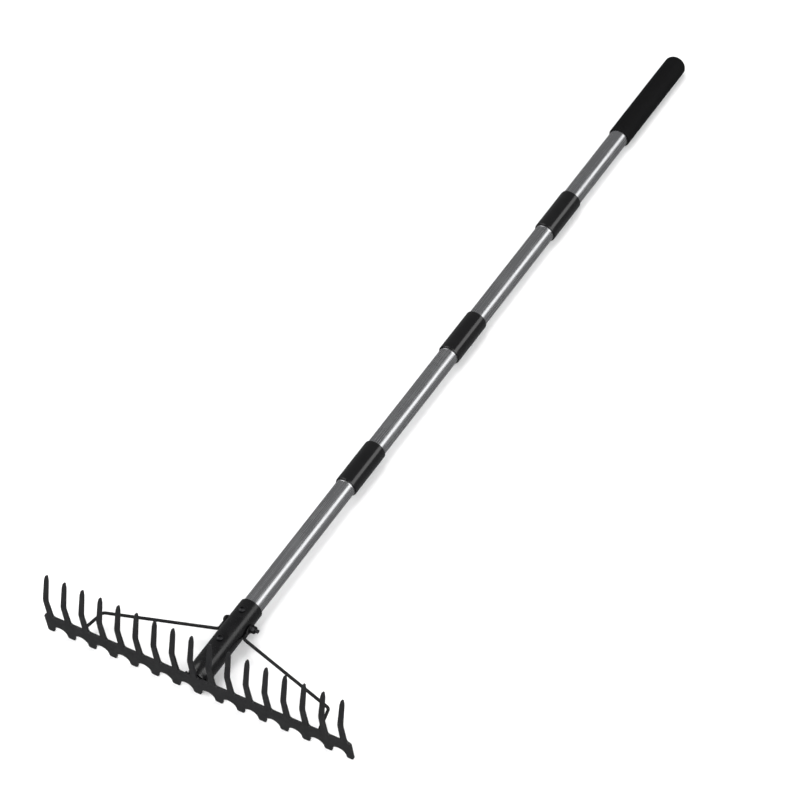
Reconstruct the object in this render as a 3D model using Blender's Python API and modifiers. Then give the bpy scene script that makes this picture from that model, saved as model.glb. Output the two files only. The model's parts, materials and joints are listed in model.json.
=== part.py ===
"""Garden rake: a stamped steel head with 17 tines and 15 short back teeth, two wire braces, a bolted socket
and a handle of four steel tubes that screw together, with a grip at the far end.

The rake lies on the floor with its tines up, on the tips of the back teeth and the end of the grip. X runs
along the head, Y along the handle from the head to the grip, and Z up. Dimensions are in millimetres."""

import math

import bmesh
import bpy
from mathutils import Matrix, Vector

MM = 0.001
GAP = 0.4

# Head
TINES = 17
TINE_PITCH = 25.4
TINE_LENGTH = 65.5
TINE_STRAIGHT = 31.0
TINE_BEND = math.radians(22)
TINE_BEND_RADIUS = 16.0
TINE_ROOT_HALF = 3.9
TINE_HALF = 3.3
TINE_END_HALF = 2.6
TINE_TIP_HALF = 1.1
TINE_POINT = 8.0
ROOT_FILLET = 3.2
TEETH = 15
TOOTH_PITCH = 29.8
TOOTH_REACH = 30.5
SCALLOP_RADIUS = 9.7
SCALLOP_CENTRE = 3.2
TOOTH_CORNER = 2.8
PLATE_HALF = 212.6
PLATE_CORNER = 3.5
PLATE_THICKNESS = 3.0
ROOT_LINE = 5.5
HEAD_LEAN = math.radians(3.5)

# Socket and its bolts
SOCKET_RADIUS = 15.0
SOCKET_NOSE_RADIUS = 11.8
SOCKET_TAPER = 20.0
SOCKET_WALL = 1.9
SOCKET_END = 121.5
BOLT_RADIUS = 2.5
HOLE_RADIUS = 2.85
BRACE_BOLT_AT = 94.0
BRACE_BOLT_TAIL = 9.5
SOCKET_BOLTS_AT = (56.0, 104.0)
WELD_RADIUS = 1.9

# Braces
WIRE_RADIUS = 2.0
BRACE_FOOT = (165.0, -6.5)
BRACE_BEND = (157.5, 39.0, -6.0)
BRACE_BEND_RADIUS = 5.5
STRAP_CENTRE = SOCKET_RADIUS + GAP + 0.95
STRAP_HALF = (0.95, 5.2)
STRAP_BEND_RADIUS = 5.0
STRAP_LENGTH = 17.0

# Handle
TUBE_RADIUS = 12.7
TUBE_WALL = 1.2
TUBE_START = 40.0
JOINTS_AT = (368.0, 614.0, 858.0)
SLEEVE_RADIUS = 14.6
SLEEVE_LENGTH = 68.5
THREAD_PITCH = 4.0
THREAD_TURNS = 6
STUD_RADIUS = 8.5
INSERT_DEPTH = 30.0
BEAD_HEIGHT = 0.5
GRIP_START = 1023.0
GRIP_END = 1190.0
GRIP_RADIUS = 14.8
GRIP_DOME = 11.0
ROUND_STEPS = 40


def clear_scene():
    for obj in list(bpy.data.objects):
        bpy.data.objects.remove(obj, do_unlink=True)
    for mesh in list(bpy.data.meshes):
        bpy.data.meshes.remove(mesh)


def new_collection(name, helper=False):
    found = bpy.data.collections.new(name)
    bpy.context.scene.collection.children.link(found)
    found.hide_render = helper
    return found


def material(name, colour, metallic, roughness):
    made = bpy.data.materials.new(name)
    made.use_nodes = True
    shader = made.node_tree.nodes["Principled BSDF"]
    shader.inputs["Base Color"].default_value = (*colour, 1)
    shader.inputs["Metallic"].default_value = metallic
    shader.inputs["Roughness"].default_value = roughness
    return made


def empty(name, parent=None, location=(0, 0, 0), tilt=0.0):
    made = bpy.data.objects.new(name, None)
    rake.objects.link(made)
    made.empty_display_size = 0.03
    made.parent = parent
    made.location = [v * MM for v in location]
    made.rotation_euler = (tilt, 0, 0)
    return made


def add(name, mesh, looks, parent, location=(0, 0, 0), rotation=(0, 0, 0), smooth=True):
    obj = bpy.data.objects.new(name, mesh)
    rake.objects.link(obj)
    obj.parent = parent
    obj.location = [v * MM for v in location]
    obj.rotation_euler = rotation
    mesh.materials.append(looks)
    for face in mesh.polygons:
        face.use_smooth = smooth
    return obj


def turned(name, profile, looks, parent, location=(0, 0, 0), rotation=None, steps=ROUND_STEPS, closed=True):
    """A round piece about its own Z. The profile holds (radius, height) pairs and runs from top to bottom
    along the outside. A closed one comes back up along the bore."""
    mesh = bpy.data.meshes.new(name)
    count = len(profile)
    edges = [(i, i + 1) for i in range(count - 1)] + ([(count - 1, 0)] if closed else [])
    mesh.from_pydata([(r * MM, 0, h * MM) for r, h in profile], edges, [])
    obj = add(name, mesh, looks, parent, location, ALONG_Y if rotation is None else rotation)
    screw = obj.modifiers.new("Turn", "SCREW")
    screw.axis = "Z"
    screw.angle = math.tau
    screw.steps = screw.render_steps = steps
    screw.use_merge_vertices = True
    screw.merge_threshold = 1e-5
    screw.use_smooth_shade = True
    return obj


def rounded(radius, height, edge, side):
    """Profile points of an outer edge rounded by `edge`, at the top (side 1) or the bottom (side -1)."""
    turns = [math.radians(a) for a in ((90, 60, 30, 0) if side > 0 else (0, -30, -60, -90))]
    centre = height - side * edge
    return [(radius - edge + edge * math.cos(a), centre + edge * math.sin(a)) for a in turns]


def loft(name, rings, looks, parent, smooth=True):
    """A closed skin through rings of points, all with the same count, with flat ends."""
    bm = bmesh.new()
    made = [[bm.verts.new(Vector(p) * MM) for p in ring] for ring in rings]
    count = len(rings[0])
    for low, high in zip(made, made[1:]):
        for i in range(count):
            j = (i + 1) % count
            bm.faces.new((low[i], low[j], high[j], high[i]))
    bm.faces.new(made[0])
    bm.faces.new(made[-1])
    bmesh.ops.recalc_face_normals(bm, faces=bm.faces)
    mesh = bpy.data.meshes.new(name)
    bm.to_mesh(mesh)
    bm.free()
    return add(name, mesh, looks, parent, smooth=smooth)


def ring_about(centre, across, thick, half_across, half_thick, square=1.0, count=16):
    """Points round a section. A square value below 1 fills out its corners."""
    points = []
    for k in range(count):
        c, s = math.cos(math.tau * k / count), math.sin(math.tau * k / count)
        u = math.copysign(abs(c) ** square, c) * half_across
        v = math.copysign(abs(s) ** square, s) * half_thick
        points.append(centre + across * u + thick * v)
    return points


def cut(obj, cutter):
    boolean = obj.modifiers.new("Cut " + cutter.name, "BOOLEAN")
    boolean.operation = "DIFFERENCE"
    boolean.solver = "EXACT"
    boolean.object = cutter


def cutter_rod(name, axis, at, radius, length, parent, offset=0.0):
    bm = bmesh.new()
    bmesh.ops.create_cone(
        bm, cap_ends=True, segments=24, radius1=radius * MM, radius2=radius * MM, depth=length * MM
    )
    if axis == "X":
        bmesh.ops.rotate(bm, verts=bm.verts, matrix=Matrix.Rotation(math.pi / 2, 3, "Y"))
    mesh = bpy.data.meshes.new(name)
    bm.to_mesh(mesh)
    bm.free()
    obj = bpy.data.objects.new(name, mesh)
    cutters.objects.link(obj)
    obj.parent = parent
    obj.location = (offset * MM, at * MM, 0)
    obj.hide_render = True
    obj.display_type = "WIRE"
    return obj


def arc(cx, cz, radius, start, end, steps):
    """Points (x, z) of an arc. Angles are in degrees from +X towards +Z."""
    turns = [math.radians(start + (end - start) * i / steps) for i in range(steps + 1)]
    return [(cx + radius * math.cos(a), cz + radius * math.sin(a)) for a in turns]


def tooth_edge():
    """The lower edge of the plate from the left end to the right: tooth tips with scallops between them."""
    tip = ROOT_LINE - TOOTH_REACH
    opening = math.sqrt(SCALLOP_RADIUS**2 - (SCALLOP_CENTRE - TOOTH_CORNER) ** 2)
    points = []
    for k in range(TEETH):
        x = (k - (TEETH - 1) / 2) * TOOTH_PITCH
        left = x - TOOTH_PITCH / 2 + opening + TOOTH_CORNER
        right = x + TOOTH_PITCH / 2 - opening - TOOTH_CORNER
        if k == 0:
            left = -PLATE_HALF + TOOTH_CORNER
        if k == TEETH - 1:
            right = PLATE_HALF - TOOTH_CORNER
        points += arc(left, tip + TOOTH_CORNER, TOOTH_CORNER, 180, 270, 3)
        points += arc(right, tip + TOOTH_CORNER, TOOTH_CORNER, 270, 360, 3)
        if k < TEETH - 1:
            centre = x + TOOTH_PITCH / 2
            points += arc(centre, tip + SCALLOP_CENTRE, SCALLOP_RADIUS, 176, 4, 14)
    return points


def tine_half(z):
    """Half the width of a tine at height z above its root."""
    taper = min(1.0, z / TINE_STRAIGHT)
    width = TINE_ROOT_HALF + (TINE_HALF - TINE_ROOT_HALF) * taper
    beyond = max(0.0, z - TINE_STRAIGHT) / (TINE_LENGTH - TINE_STRAIGHT)
    width += (TINE_END_HALF - TINE_HALF) * beyond
    point = max(0.0, z - (TINE_LENGTH - TINE_POINT)) / TINE_POINT
    return width + (TINE_TIP_HALF - width) * point**1.6


def tine_edge():
    """The upper edge from the right end to the left: the tines, with a fillet at each root."""
    heights = [ROOT_FILLET + 2, 14, 21, TINE_STRAIGHT, 38, 47] + [
        TINE_LENGTH - TINE_POINT + TINE_POINT * t for t in (0, 0.25, 0.5, 0.75, 0.92)
    ]
    points = []
    for k in reversed(range(TINES)):
        x = (k - (TINES - 1) / 2) * TINE_PITCH
        foot = TINE_ROOT_HALF + ROOT_FILLET
        right = [(px, pz + ROOT_LINE) for px, pz in arc(x + foot, ROOT_FILLET, ROOT_FILLET, 270, 180, 4)]
        side = [(x + tine_half(h), ROOT_LINE + h) for h in heights]
        tip = [(x + 0.6, ROOT_LINE + TINE_LENGTH), (x - 0.6, ROOT_LINE + TINE_LENGTH)]
        left = [(2 * x - px, pz) for px, pz in reversed(right + side)]
        points += right[1:] if k == TINES - 1 else right
        points += side + tip
        points += left[:-1] if k == 0 else left
    return points


def bent(x, z):
    """Where a flat point goes on the bent sheet: tines curve towards the handle past their straight part."""
    start = ROOT_LINE + TINE_STRAIGHT - TINE_BEND_RADIUS * math.tan(TINE_BEND / 2)
    along = z - start
    if along <= 0:
        return Vector((x, 0, z))
    turn = min(along / TINE_BEND_RADIUS, TINE_BEND)
    rest = max(0.0, along - TINE_BEND_RADIUS * TINE_BEND)
    y = TINE_BEND_RADIUS * (1 - math.cos(turn)) + rest * math.sin(turn)
    return Vector((x, y, start + TINE_BEND_RADIUS * math.sin(turn) + rest * math.cos(turn)))


def make_tine_plate(looks, parent):
    """The sheet in its own middle plane, cut across at the bend, bent and then thickened."""
    bm = bmesh.new()
    corner = PLATE_CORNER
    outline = tooth_edge()
    outline += arc(PLATE_HALF - corner, ROOT_LINE - corner, corner, 0, 90, 3)[:-1]
    outline += tine_edge()
    outline += arc(-PLATE_HALF + corner, ROOT_LINE - corner, corner, 90, 180, 3)[1:]
    bm.faces.new([bm.verts.new((x * MM, 0, z * MM)) for x, z in outline])
    start = ROOT_LINE + TINE_STRAIGHT - TINE_BEND_RADIUS * math.tan(TINE_BEND / 2)
    cuts = [start + TINE_BEND_RADIUS * TINE_BEND * i / 5 for i in range(6)]
    for z in [ROOT_LINE + ROOT_FILLET + 2] + cuts:
        bmesh.ops.bisect_plane(
            bm,
            geom=bm.verts[:] + bm.edges[:] + bm.faces[:],
            plane_co=(0, 0, z * MM),
            plane_no=(0, 0, 1),
            dist=1e-6,
        )
    for vert in bm.verts:
        vert.co = bent(vert.co.x / MM, vert.co.z / MM) * MM
    bmesh.ops.recalc_face_normals(bm, faces=bm.faces)
    mesh = bpy.data.meshes.new("tine_plate")
    bm.to_mesh(mesh)
    bm.free()
    obj = add("tine_plate", mesh, looks, parent, smooth=False)
    solidify = obj.modifiers.new("Thickness", "SOLIDIFY")
    solidify.thickness = PLATE_THICKNESS * MM
    solidify.offset = 0
    solidify.use_even_offset = True
    return obj


def plate_face(z, lift):
    """How far along the handle axis the handle side of the plate is at height z, raised by lift."""
    return (PLATE_THICKNESS / 2 + lift - z * math.sin(HEAD_LEAN)) / math.cos(HEAD_LEAN)


def make_socket(looks, parent):
    """A ferrule with a narrowed nose, whose end follows the leaning plate."""
    stations = [(None, SOCKET_NOSE_RADIUS), (8, 13.3), (14, 14.5), (SOCKET_TAPER, SOCKET_RADIUS)]
    stations += [(SOCKET_END - 0.8, SOCKET_RADIUS), (SOCKET_END, SOCKET_RADIUS - 0.6)]
    outer = [[_socket_point(k, y, r) for k in range(ROUND_STEPS)] for y, r in stations]
    bore = [(SOCKET_END, SOCKET_RADIUS - SOCKET_WALL), (SOCKET_TAPER, SOCKET_RADIUS - SOCKET_WALL)]
    bore += [(8, 13.3 - SOCKET_WALL), (None, SOCKET_NOSE_RADIUS - SOCKET_WALL)]
    inner = [[_socket_point(k, y, r) for k in range(ROUND_STEPS)] for y, r in bore]
    bm = bmesh.new()
    made = [[bm.verts.new(p * MM) for p in ring] for ring in outer + inner]
    for low, high in zip(made, made[1:] + made[:1]):
        for i in range(ROUND_STEPS):
            j = (i + 1) % ROUND_STEPS
            bm.faces.new((low[i], low[j], high[j], high[i]))
    bmesh.ops.recalc_face_normals(bm, faces=bm.faces)
    mesh = bpy.data.meshes.new("socket")
    bm.to_mesh(mesh)
    bm.free()
    return add("socket", mesh, looks, parent)


def _socket_point(k, y, r):
    a = math.tau * (k + 0.5) / ROUND_STEPS
    x, z = r * math.cos(a), r * math.sin(a)
    return Vector((x, plate_face(z, GAP) if y is None else y, z))


def make_socket_weld(looks, parent):
    """The rippled bead along the lower part of the socket's nose, where the plate is behind it."""
    rings = []
    centre_radius = SOCKET_NOSE_RADIUS + 0.9 + WELD_RADIUS
    steps = 30
    for i in range(steps + 1):
        a = math.radians(-192 + 204 * i / steps)
        out = Vector((math.cos(a), 0, math.sin(a)))
        swell = WELD_RADIUS * (1.0 if i % 2 else 0.88)
        centre = out * centre_radius
        centre.y = plate_face(centre.z, GAP + WELD_RADIUS)
        rings.append(ring_about(centre, out, Vector((0, 1, 0)), swell, swell, count=10))
    return loft("socket_weld", rings, looks, parent)


def brace_path():
    """Centre points of a brace on the +X side, from the plate to the socket, with a rounded bend."""
    foot = Vector((BRACE_FOOT[0], plate_face(BRACE_FOOT[1], GAP + 0.2), BRACE_FOOT[1]))
    bend = Vector(BRACE_BEND)
    turn = Vector((STRAP_CENTRE + 1.3, BRACE_BOLT_AT - STRAP_LENGTH, 0.0))
    strap = Vector((STRAP_CENTRE, BRACE_BOLT_AT - 10.5, 0.0))
    points = [foot] + fillet(foot, bend, turn, BRACE_BEND_RADIUS, 6)
    return points + fillet(bend, turn, strap, STRAP_BEND_RADIUS, 5)


def fillet(before, corner, after, radius, steps):
    """Points of an arc that rounds the corner between two straight runs."""
    a = (before - corner).normalized()
    b = (after - corner).normalized()
    half = a.angle(b) / 2
    centre = corner + (a + b).normalized() * radius / math.sin(half)
    start = corner + a * radius / math.tan(half) - centre
    end = corner + b * radius / math.tan(half) - centre
    sweep = start.angle(end)
    axis = start.cross(end).normalized()
    return [centre + Matrix.Rotation(sweep * i / steps, 3, axis) @ start for i in range(steps + 1)]


def make_brace(name, side, looks, parent):
    """A wire whose socket end is beaten flat, with an eye for the bolt."""
    path = brace_path()
    rings = []
    for i, point in enumerate(path):
        ahead = path[min(i + 1, len(path) - 1)] - path[max(i - 1, 0)]
        if i == len(path) - 1:
            ahead = Vector((0, 1, 0))
        across = ahead.cross(Vector((0, 0, 1))).normalized()
        rings.append(ring_about(point, across, Vector((0, 0, 1)), WIRE_RADIUS, WIRE_RADIUS))
    end = BRACE_BOLT_AT + STRAP_HALF[1]
    thin, wide = STRAP_HALF
    flat = [(BRACE_BOLT_AT - 8.5, 0.7, 1.4, 3.4), (BRACE_BOLT_AT - 5.0, 0.0, thin, 4.8)]
    flat += [(BRACE_BOLT_AT, 0.0, thin, wide)]
    for turn in (0.5, 0.9, 1.25, 1.45):
        flat.append((end - wide * (1 - math.sin(turn)), 0.0, thin, wide * math.cos(turn)))
    for y, out, thin, wide in flat:
        centre = Vector((STRAP_CENTRE + out, y, 0))
        rings.append(ring_about(centre, Vector((1, 0, 0)), Vector((0, 0, 1)), thin, wide, square=0.6))
    rings = [[Vector((side * p.x, p.y, p.z)) for p in ring] for ring in rings]
    obj = loft(name, rings, looks, parent)
    cut(obj, cutter_rod("eye_" + name, "X", BRACE_BOLT_AT, HOLE_RADIUS, 12, parent, side * STRAP_CENTRE))
    return obj


def make_brace_weld(name, side, looks, parent):
    """A bead round the foot of a brace."""
    rings = []
    foot_x, foot_z = BRACE_FOOT
    radius = WIRE_RADIUS + 0.5 + 1.3
    steps = 20
    for i in range(steps + 1):
        a = math.radians(10 + 340 * i / steps)
        out = Vector((math.cos(a), 0, math.sin(a)))
        centre = Vector((foot_x, 0, foot_z)) + out * radius
        centre.y = plate_face(centre.z, GAP + 1.3)
        centre.x = side * centre.x
        out.x = side * out.x
        rings.append(ring_about(centre, out, Vector((0, 1, 0)), 1.3, 1.3, count=8))
    return loft(name, rings, looks, parent)


def button_bolt(name, at, length, looks, parent):
    """A round-headed bolt down through the socket, along -Z from the top of the socket."""
    top = SOCKET_RADIUS + GAP
    profile = [(0, top + 2.9), (1.7, top + 2.8), (3.2, top + 2.1), (4.2, top + 1.0), (4.5, top)]
    profile += [(BOLT_RADIUS, top), (BOLT_RADIUS, top - length + 0.6), (BOLT_RADIUS - 0.6, top - length)]
    profile += [(0, top - length)]
    return turned(name, profile, looks, parent, (0, at, 0), (0, 0, 0), 24, closed=False)


def brace_bolt(name, at, looks, parent):
    """The brace bolt, from its head at -X to its threaded end past the nut at +X."""
    under = STRAP_CENTRE + STRAP_HALF[0] + GAP
    head = 3.6
    tail = -(under + BRACE_BOLT_TAIL)
    profile = [(0, under + head), (4.0, under + head), (4.6, under + head - 0.6), (4.6, under)]
    profile += [(BOLT_RADIUS, under), (BOLT_RADIUS, tail + 0.6), (BOLT_RADIUS - 0.6, tail), (0, tail)]
    return turned(name, profile, looks, parent, (0, at, 0), (0, -math.pi / 2, 0), 24, closed=False)


def nut(name, location, rotation, looks, parent):
    """A hexagon nut about its own Z, with a round bore and the corners of both faces turned off."""
    flat, height, count = 4.15, 4.0, 36
    crown = flat / math.cos(math.pi / 6) - 0.35
    rings = []
    for z, limit in ((0, crown), (0.5, 9), (height - 0.5, 9), (height, crown), (height, None), (0, None)):
        ring = []
        for k in range(count):
            a = math.tau * k / count
            r = flat / math.cos((a + math.pi / 6) % (math.pi / 3) - math.pi / 6)
            r = HOLE_RADIUS if limit is None else min(r, limit)
            ring.append((r * math.cos(a) * MM, r * math.sin(a) * MM, z * MM))
        rings.append(ring)
    bm = bmesh.new()
    made = [[bm.verts.new(p) for p in ring] for ring in rings]
    for low, high in zip(made, made[1:] + made[:1]):
        for i in range(count):
            bm.faces.new((low[i], low[(i + 1) % count], high[(i + 1) % count], high[i]))
    bmesh.ops.recalc_face_normals(bm, faces=bm.faces)
    mesh = bpy.data.meshes.new(name)
    bm.to_mesh(mesh)
    bm.free()
    return add(name, mesh, looks, parent, location, rotation, smooth=False)


def washer(name, location, rotation, looks, parent):
    profile = [(5.4, 1.0), (5.4, 0), (HOLE_RADIUS, 0), (HOLE_RADIUS, 1.0)]
    return turned(name, profile, looks, parent, location, rotation, 24)


def tube(name, start, end, bead_at, looks, parent):
    """A steel tube with square ends and, where it enters a sleeve, a low raised bead."""
    inner = TUBE_RADIUS - TUBE_WALL
    profile = [(TUBE_RADIUS, end - start)]
    if bead_at is not None:
        low, high = bead_at - start - 2.4, bead_at - start - 0.8
        crest = TUBE_RADIUS + BEAD_HEIGHT
        profile += [(TUBE_RADIUS, high), (crest, high - 0.4), (crest, low + 0.4), (TUBE_RADIUS, low)]
    profile += [(TUBE_RADIUS, 0), (inner, 0), (inner, end - start)]
    return turned(name, profile, looks, parent, (0, start, 0))


def make_male_insert(name, joint, looks, parent):
    """The plug in the end of a lower tube, with a threaded stud that stands out of it."""
    plug = TUBE_RADIUS - TUBE_WALL - 0.35
    length = THREAD_PITCH * THREAD_TURNS
    top = 1.2 + length + 1.0
    profile = [(0, top), (STUD_RADIUS - 1.8, top)]
    for turn in range(THREAD_TURNS):
        crest = 1.2 + length - THREAD_PITCH * turn
        profile += [(STUD_RADIUS - 1.0, crest - 0.2), (STUD_RADIUS, crest - 1.6), (STUD_RADIUS, crest - 2.4)]
    profile += [(STUD_RADIUS - 1.0, 1.3), (TUBE_RADIUS - 0.2, 1.2), (TUBE_RADIUS - 0.2, -1.1)]
    profile += [(plug, -1.1), (plug, -INSERT_DEPTH + 1), (plug - 1, -INSERT_DEPTH), (0, -INSERT_DEPTH)]
    return turned(name, profile, looks, parent, (0, joint, 0), steps=32, closed=False)


def make_female_insert(name, joint, looks, parent):
    """The nut in the foot of an upper tube that takes the stud."""
    outer = TUBE_RADIUS - TUBE_WALL - 0.35
    bore = STUD_RADIUS + 0.4
    foot, depth, top = 1.7, THREAD_PITCH * THREAD_TURNS + 4.5, INSERT_DEPTH + 3
    profile = [(0, top), (outer - 1, top), (outer, top - 1), (outer, foot), (bore + 0.6, foot)]
    profile += [(bore, foot + 0.6), (bore, depth), (0, depth)]
    return turned(name, profile, looks, parent, (0, joint, 0), steps=32, closed=False)


def make_sleeve(name, joint, looks, parent):
    """The collar that covers the place where two tubes meet."""
    half = SLEEVE_LENGTH / 2
    bore = TUBE_RADIUS + 0.4
    profile = rounded(SLEEVE_RADIUS, half, 0.9, 1) + rounded(SLEEVE_RADIUS, -half, 0.9, -1)
    profile += [(bore + 0.2, -half), (bore, -half + 0.4), (bore, half - 0.4), (bore + 0.2, half)]
    return turned(name, profile, looks, parent, (0, joint, 0))


def make_grip(looks, parent):
    """A soft grip with a domed end, closed over the end of the last tube."""
    length = GRIP_END - GRIP_START
    bore = TUBE_RADIUS + 0.4
    dome = []
    for i in range(8):
        a = math.radians(90 - 90 * i / 7)
        dome.append((GRIP_RADIUS * math.cos(a), length - GRIP_DOME + GRIP_DOME * math.sin(a)))
    profile = [(0, length)] + dome[1:] + rounded(GRIP_RADIUS, 0, 1.2, -1)
    profile += [(bore, 0), (bore, length - GRIP_DOME - 1), (0, length - GRIP_DOME - 1)]
    return turned("grip", profile, looks, parent, (0, GRIP_START, 0), closed=False)


def stand_on_floor(root):
    """Moves the rake so that its box is centred on the origin and its lowest points are on the floor."""
    bpy.context.view_layer.update()
    graph = bpy.context.evaluated_depsgraph_get()
    low, high = Vector((1, 1, 1)) * 1e9, Vector((1, 1, 1)) * -1e9
    for obj in rake.objects:
        if obj.type != "MESH":
            continue
        evaluated = obj.evaluated_get(graph)
        mesh = evaluated.to_mesh()
        for vert in mesh.vertices:
            place = evaluated.matrix_world @ vert.co
            low = Vector(map(min, low, place))
            high = Vector(map(max, high, place))
        evaluated.to_mesh_clear()
    root.location = (-(low.x + high.x) / 2, -(low.y + high.y) / 2, -low.z)


clear_scene()
rake = new_collection("garden_rake")
cutters = new_collection("cutters", helper=True)
ALONG_Y = (-math.pi / 2, 0, 0)

black_enamel = material("black_enamel", (0.030, 0.031, 0.033), 0.0, 0.42)
weld_metal = material("painted_weld", (0.026, 0.027, 0.028), 0.0, 0.5)
zinc = material("blackened_bolt_steel", (0.11, 0.11, 0.115), 0.9, 0.38)
stainless = material("stainless_tube", (0.56, 0.57, 0.58), 1.0, 0.3)
gloss_black = material("gloss_black_plastic", (0.012, 0.012, 0.013), 0.0, 0.25)
insert_plastic = material("insert_nylon", (0.03, 0.03, 0.032), 0.0, 0.45)
grip_rubber = material("grip_rubber", (0.018, 0.018, 0.019), 0.0, 0.75)

teeth_drop = (TOOTH_REACH - ROOT_LINE) * math.cos(HEAD_LEAN) + PLATE_THICKNESS / 2 * math.sin(HEAD_LEAN)
rest_tilt = math.atan2(teeth_drop - GRIP_RADIUS, GRIP_END - GRIP_DOME)
root = empty("garden_rake_root", tilt=-rest_tilt)
head = empty("head", root, tilt=HEAD_LEAN)

make_tine_plate(black_enamel, head)
socket = make_socket(black_enamel, root)
make_socket_weld(weld_metal, root)
for side, hand in ((-1, "left"), (1, "right")):
    make_brace("brace_" + hand, side, black_enamel, root)
    make_brace_weld("brace_weld_" + hand, side, weld_metal, root)

tube_ends = [TUBE_START] + [j + 1.9 for j in JOINTS_AT]
tube_tops = [j - 1.5 for j in JOINTS_AT] + [GRIP_END - GRIP_DOME - 3]
tubes = []
for n in range(4):
    bead = JOINTS_AT[n] - SLEEVE_LENGTH / 2 if n < 3 else None
    tubes.append(tube(f"tube_{n + 1}", tube_ends[n], tube_tops[n], bead, stainless, root))

brace_hole = cutter_rod("brace_bolt_hole", "X", BRACE_BOLT_AT, HOLE_RADIUS, 60, root)
for piece in (socket, tubes[0]):
    cut(piece, brace_hole)
for at, place in zip(SOCKET_BOLTS_AT, ("lower", "upper")):
    hole = cutter_rod(f"socket_bolt_hole_{place}", "Z", at, HOLE_RADIUS, 60, root)
    for piece in (socket, tubes[0]):
        cut(piece, hole)
    under = SOCKET_RADIUS + GAP
    button_bolt(f"socket_bolt_{place}", at, 2 * under + 5.6, zinc, root)
    nut(f"socket_nut_{place}", (0, at, -under), (math.pi, 0, 0), zinc, root)

brace_bolt("brace_bolt", BRACE_BOLT_AT, zinc, root)
outside = STRAP_CENTRE + STRAP_HALF[0] + GAP
washer("brace_washer", (outside, BRACE_BOLT_AT, 0), (0, math.pi / 2, 0), zinc, root)
nut("brace_nut", (outside + 1.3, BRACE_BOLT_AT, 0), (0, math.pi / 2, 0), zinc, root)

for n, joint in enumerate(JOINTS_AT, 1):
    make_male_insert(f"male_insert_{n}", joint, insert_plastic, root)
    make_female_insert(f"female_insert_{n}", joint, insert_plastic, root)
    make_sleeve(f"coupling_sleeve_{n}", joint, gloss_black, root)
make_grip(grip_rubber, root)
stand_on_floor(root)
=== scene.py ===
"""Garden rake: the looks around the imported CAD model.

Shapes are in millimetres in the rake's own frame: X along the head, Y up the handle and Z the way the tines
point. new_object turns them into metres. Materials, lights and the camera are in metres.
"""

import json
import math

import bmesh
import bpy
from mathutils import Matrix, Vector


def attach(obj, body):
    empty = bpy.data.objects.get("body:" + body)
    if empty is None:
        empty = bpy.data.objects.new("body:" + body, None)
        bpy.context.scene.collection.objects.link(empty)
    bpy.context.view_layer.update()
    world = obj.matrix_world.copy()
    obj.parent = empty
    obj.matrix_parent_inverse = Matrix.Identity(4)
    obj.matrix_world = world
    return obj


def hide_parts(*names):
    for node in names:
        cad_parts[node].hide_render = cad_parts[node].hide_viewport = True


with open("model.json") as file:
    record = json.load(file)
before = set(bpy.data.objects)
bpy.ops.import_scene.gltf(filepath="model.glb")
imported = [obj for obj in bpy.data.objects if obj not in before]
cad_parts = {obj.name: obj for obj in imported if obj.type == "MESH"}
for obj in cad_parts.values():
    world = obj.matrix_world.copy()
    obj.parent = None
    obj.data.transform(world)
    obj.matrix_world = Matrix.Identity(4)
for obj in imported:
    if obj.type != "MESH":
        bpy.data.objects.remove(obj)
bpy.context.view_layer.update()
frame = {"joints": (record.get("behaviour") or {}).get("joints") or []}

MM = 0.001

# The CAD model's dimensions
TINES, TINE_PITCH, TINE_LENGTH, TINE_STRAIGHT = 17, 25.4, 65.5, 31.0
TINE_BEND, TINE_BEND_RADIUS = math.radians(22), 16.0
TINE_ROOT_HALF, TINE_HALF, TINE_END_HALF, TINE_TIP_HALF, TINE_POINT = 3.9, 3.3, 2.6, 1.1, 8.0
ROOT_FILLET = 3.2
TEETH, TOOTH_PITCH, TOOTH_REACH = 15, 29.8, 30.5
SCALLOP_RADIUS, SCALLOP_CENTRE, TOOTH_CORNER = 9.7, 3.2, 2.8
PLATE_HALF, PLATE_CORNER, PLATE_THICKNESS, ROOT_LINE = 212.6, 3.5, 3.0, 5.5
HEAD_LEAN = math.radians(3.5)
GAP = 0.4
SOCKET_RADIUS, SOCKET_NOSE_RADIUS, SOCKET_TAPER, SOCKET_WALL, SOCKET_END = 15.0, 11.8, 20.0, 1.9, 121.5
BOLT_RADIUS, HOLE_RADIUS, BRACE_BOLT_AT, BRACE_BOLT_TAIL = 2.5, 2.85, 94.0, 9.5
SOCKET_BOLTS_AT = {"lower": 56.0, "upper": 104.0}
WELD_RADIUS, WIRE_RADIUS, BRACE_BEND_RADIUS = 1.9, 2.0, 5.5
BRACE_FOOT, BRACE_BEND = (165.0, -6.5), (157.5, 39.0, -6.0)
STRAP_CENTRE, STRAP_THIN, STRAP_WIDE = SOCKET_RADIUS + GAP + 0.95, 0.95, 5.2
STRAP_LENGTH, STRAP_BEND_RADIUS = 17.0, 5.0
TUBE_RADIUS, TUBE_WALL, TUBE_START = 12.7, 1.2, 40.0
JOINTS_AT = (368.0, 614.0, 858.0)
SLEEVE_RADIUS, SLEEVE_LENGTH = 14.6, 68.5
THREAD_PITCH, THREAD_TURNS, STUD_RADIUS, INSERT_DEPTH = 4.0, 6, 8.5, 30.0
GRIP_START, GRIP_END, GRIP_RADIUS, GRIP_DOME = 1023.0, 1190.0, 14.8, 11.0

# Where a tine starts to bend, the radius of a plug that fits in a tube, and the length of a thread
BEND_START = ROOT_LINE + TINE_STRAIGHT - TINE_BEND_RADIUS * math.tan(TINE_BEND / 2)
PLUG_RADIUS = TUBE_RADIUS - TUBE_WALL - 0.35
THREAD_LENGTH = THREAD_PITCH * THREAD_TURNS

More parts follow.
